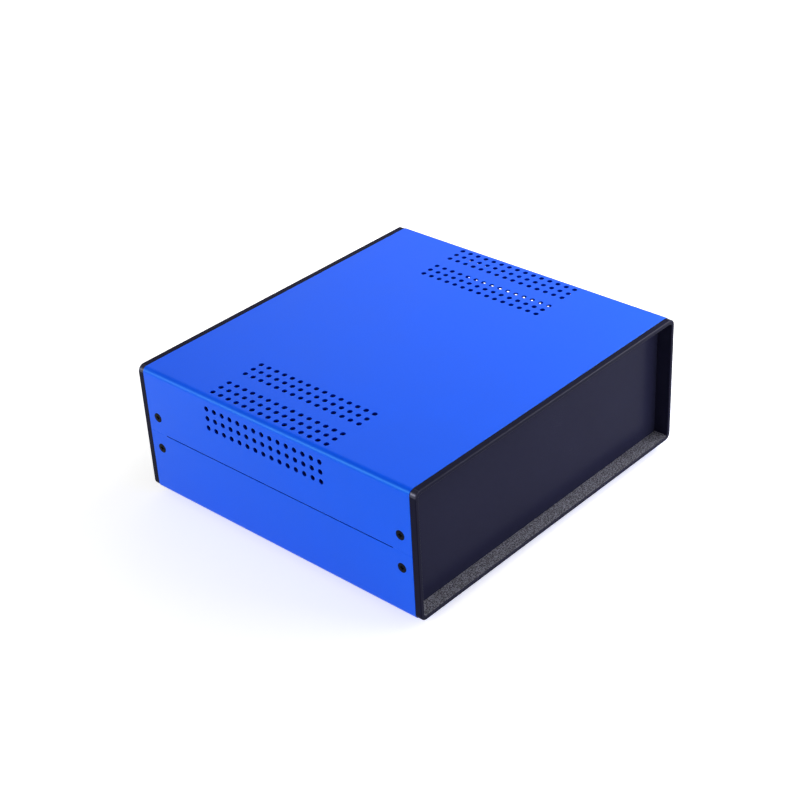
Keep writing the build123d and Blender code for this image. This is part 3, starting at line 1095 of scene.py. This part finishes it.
class BOX_OT_feet(bpy.types.Operator):
    """Makes the four rubber feet with their screws"""

    bl_idname = "project_box.feet"
    bl_label = "Feet and their screws"

    def execute(self, context):
        hardware = context.scene.box_hardware
        foot, screw = foot_shape(hardware), foot_screw_shape(hardware)
        rubber, zinc = [foot_rubber()], [zinc_plating()]
        for where, place in foot_places().items():
            rest = moved(foot, Matrix.Translation(place))
            bolt = moved(screw, Matrix.Translation(place - Vector((0, 0, FOOT_WEB))))
            place_piece(f"rubber_foot_{where}", rest, rubber, [f"foot_{where}"])
            place_piece(f"pan_head_screw_{where}", bolt, zinc, [f"foot_screw_{where}"])
        return {"FINISHED"}


def nut_shape(hardware):
    """A hexagon nut that stands on z = 0. Its outside radius at an angle is the lesser of the hexagon's,
    half the width over the cosine of the angle from the nearest flat's middle, and that of the cone that
    chamfers its corners. Its bore has a vee thread, drawn as rings."""
    half, high = hardware.nut_width / 2, hardware.nut_height
    bore, pitch = hardware.screw_diameter / 2 + 0.01 * MM, hardware.thread_pitch
    angle = even_turn(48)
    hexagon = half / np.cos((angle + pi / 6) % (pi / 3) - pi / 6)
    level = np.array([0, 0.06, 0.14, 0.24, 0.5, 0.76, 0.86, 0.94, 1.0]) * high
    cone = half * 0.97 + np.minimum(level, high - level) * sqrt(3)
    outside = np.minimum(hexagon[None, :], cone[:, None])
    inside = thread(bore, pitch, high, 0)
    inside[:, 0] = np.maximum(2 * bore - inside[:, 0] - pitch * 0.3, bore)
    radius = np.vstack([outside, np.broadcast_to(inside[:, :1], (len(inside), len(angle)))])
    height = np.concatenate([level, inside[:, 1]])
    return closed_grid(turned(radius, height[:, None], angle))


class BOX_OT_nuts(bpy.types.Operator):
    """Makes the nuts on the feet's screws and on the panels' studs"""

    bl_idname = "project_box.nuts"
    bl_label = "Nuts"

    def execute(self, context):
        scene = context.scene
        shape = nut_shape(scene.box_hardware)
        on_sheet, on_ledge = Vector((0, 0, SHEET)), Matrix.Translation((0, 0, LEDGE))
        places = {
            f"foot_nut_{where}": Matrix.Translation(place + on_sheet)
            for where, place in foot_places().items()
        }
        for (side, level), place in stud_places(scene.box_ends).items():
            for end_name, matrix in end_places().items():
                side_name = "left" if side * ENDS[end_name] > 0 else "right"
                level_name = "upper" if level > 0 else "lower"
                where = f"{side_name}_{end_name}_{level_name}"
                places[f"panel_nut_{where}"] = matrix @ place @ on_ledge
        for name, matrix in places.items():
            place_piece(f"hexagon_{name}", moved(shape, matrix), [zinc_plating()], [name])
        return {"FINISHED"}


# Stage

# Half the floor's side. The floor's glow grows between the first two distances, and the surround dims
# between the two heights, as shares of the way up.
FLOOR_HALF = 200.0
GLOW_START, GLOW_END = 0.14, 0.55
DIM_START, DIM_END = 0.5, 0.85
# Each lamp's name, its power's property, the side of its square and its place
LAMPS = (
    ("softbox above the front", "front_power", 0.8, (0.50, -0.68, 0.36)),
    ("softbox over the right end", "over_power", 0.25, (0.42, -0.10, 0.40)),
    ("softbox behind the left side", "rear_power", 0.85, (-1.73, 1.25, 0.80)),
    ("softbox behind the right end", "sheen_power", 0.6, (0.75, 0.67, 0.53)),
)
# The photograph's frame is shifted against the camera's axis by these shares of its width.
SENSOR, SHIFT, CLIP = 36.0, (0.0191, 0.0456), (0.05, 50.0)


def floor_material(stage):
    """A pale floor with its shadows. Some white is added where the camera, gloss or a clear piece sees it,
    and more of it away from the box. From below the floor is clear, so that the underside can be seen."""
    material = bpy.data.materials.new("pale_floor")
    material.use_nodes = True
    tree = material.node_tree
    tree.nodes.clear()
    rays = node(tree, "LightPath")
    seen = rays.outputs["Is Camera Ray"]
    for kind in ("Is Transmission Ray", "Is Glossy Ray"):
        seen = node(tree, "Math", {0: seen, 1: rays.outputs[kind]}, operation="MAXIMUM").outputs[0]
    place = node(tree, "TexCoord")
    away = node(tree, "VectorMath", {0: place.outputs["Object"]}, operation="LENGTH")
    growth = node(tree, "MapRange", {
        "Value": away.outputs["Value"], "From Min": GLOW_START, "From Max": GLOW_END,
        "To Min": stage.near_glow, "To Max": stage.far_glow,
    }, interpolation_type="SMOOTHSTEP")
    glow = node(tree, "Math", {0: growth.outputs["Result"], 1: seen}, operation="MULTIPLY")
    matt = node(tree, "BsdfDiffuse", {"Color": (*stage.floor_colour, 1.0)})
    white = node(tree, "Emission", {"Color": WHITE, "Strength": glow.outputs[0]})
    both = node(tree, "AddShader", {0: matt.outputs[0], 1: white.outputs[0]})
    face = node(tree, "NewGeometry")
    clear = node(tree, "BsdfTransparent")
    sided = node(tree, "MixShader", {
        0: face.outputs["Backfacing"], 1: both.outputs[0], 2: clear.outputs[0],
    })
    node(tree, "OutputMaterial", {"Surface": sided.outputs[0]})
    return material


def lay_floor(stage):
    """A square floor at the height that the feet stand on."""
    half = FLOOR_HALF
    corners = np.array([(-half, -half, 0), (half, -half, 0), (half, half, 0), (-half, half, 0)])
    floor = bpy.data.objects.new("floor", mesh_of("floor", (corners, [[0, 1, 2, 3]])))
    floor.data.materials.append(floor_material(stage))
    bpy.context.scene.collection.objects.link(floor)


def set_surround(stage):
    """A white surround, less bright overhead than near the horizon."""
    world = bpy.data.worlds.new("even surround")
    world.use_nodes = True
    bpy.context.scene.world = world
    tree = world.node_tree
    direction = node(tree, "TexCoord")
    parts = node(tree, "SeparateXYZ", {"Vector": direction.outputs["Generated"]})
    level = node(tree, "MapRange", {
        "Value": parts.outputs["Z"], "From Min": DIM_START, "From Max": DIM_END,
        "To Min": stage.surround_low, "To Max": stage.surround_high,
    }, interpolation_type="SMOOTHSTEP")
    backdrop = tree.nodes["Background"].inputs
    feed(tree, backdrop["Color"], WHITE)
    feed(tree, backdrop["Strength"], level.outputs["Result"])


def add_lamp(name, power, size, place):
    """A square softbox that faces the middle of the box."""
    lamp = bpy.data.lights.new(name, "AREA")
    lamp.shape = "SQUARE"
    lamp.size = size
    lamp.energy = power
    item = bpy.data.objects.new(name, lamp)
    item.location = place
    item.rotation_mode = "QUATERNION"
    item.rotation_quaternion = (Vector((0, 0, MID_HEIGHT)) - Vector(place)).to_track_quat("-Z", "Y")
    item.visible_camera = False
    bpy.context.scene.collection.objects.link(item)


def set_camera(stage):
    """The camera at the photograph's angle: turned by its heading, then dipped, then rolled."""
    scene = bpy.context.scene
    view = bpy.data.cameras.new("camera")
    view.sensor_width = SENSOR
    view.lens = stage.lens
    view.shift_x, view.shift_y = SHIFT
    view.clip_start, view.clip_end = CLIP
    camera = bpy.data.objects.new("camera", view)
    turn = (
        Matrix.Rotation(-stage.heading, 4, "Z")
        @ Matrix.Rotation(pi / 2 - stage.dip, 4, "X")
        @ Matrix.Rotation(stage.roll, 4, "Z")
    )
    camera.matrix_world = Matrix.Translation(stage.camera_place) @ turn
    scene.collection.objects.link(camera)
    scene.camera = camera


class BOX_OT_stage(bpy.types.Operator):
    """Sets the floor, the surround, the lamps and the camera"""

    bl_idname = "project_box.stage"
    bl_label = "Stage"

    def execute(self, context):
        stage = context.scene.box_stage
        lay_floor(stage)
        set_surround(stage)
        for name, source, size, place in LAMPS:
            add_lamp(name, getattr(stage, source), size, place)
        set_camera(stage)
        context.scene.view_settings.view_transform = "Standard"
        return {"FINISHED"}


class BOX_PT_panel(bpy.types.Panel):
    """Lists the pieces and their settings"""

    bl_idname = "BOX_PT_panel"
    bl_label = "Project Box"
    bl_space_type = "VIEW_3D"
    bl_region_type = "UI"
    bl_category = "Project Box"

    def draw(self, context):
        layout = self.layout
        for operator in OPERATORS:
            layout.operator(operator.bl_idname)
        for name in SETTINGS:
            group = getattr(context.scene, name)
            box = layout.box()
            for key in group.__annotations__:
                box.prop(group, key)


OPERATORS = (
    BOX_OT_stage, BOX_OT_covers, BOX_OT_end_frames, BOX_OT_panels, BOX_OT_side_screws, BOX_OT_feet,
    BOX_OT_nuts,
)
SETTINGS = {
    "box_covers": CoverSettings,
    "box_ends": FrameSettings,
    "box_hardware": HardwareSettings,
    "box_stage": StageSettings,
}


def register():
    for item in (*SETTINGS.values(), *OPERATORS, BOX_PT_panel):
        bpy.utils.register_class(item)
    for name, group in SETTINGS.items():
        setattr(bpy.types.Scene, name, bpy.props.PointerProperty(type=group))


def unregister():
    for name in SETTINGS:
        delattr(bpy.types.Scene, name)
    for item in reversed((*SETTINGS.values(), *OPERATORS, BOX_PT_panel)):
        bpy.utils.unregister_class(item)


def main():
    register()
    for operator in OPERATORS:
        group, name = operator.bl_idname.split(".")
        getattr(getattr(bpy.ops, group), name)()


if __name__ == "__main__":
    main()
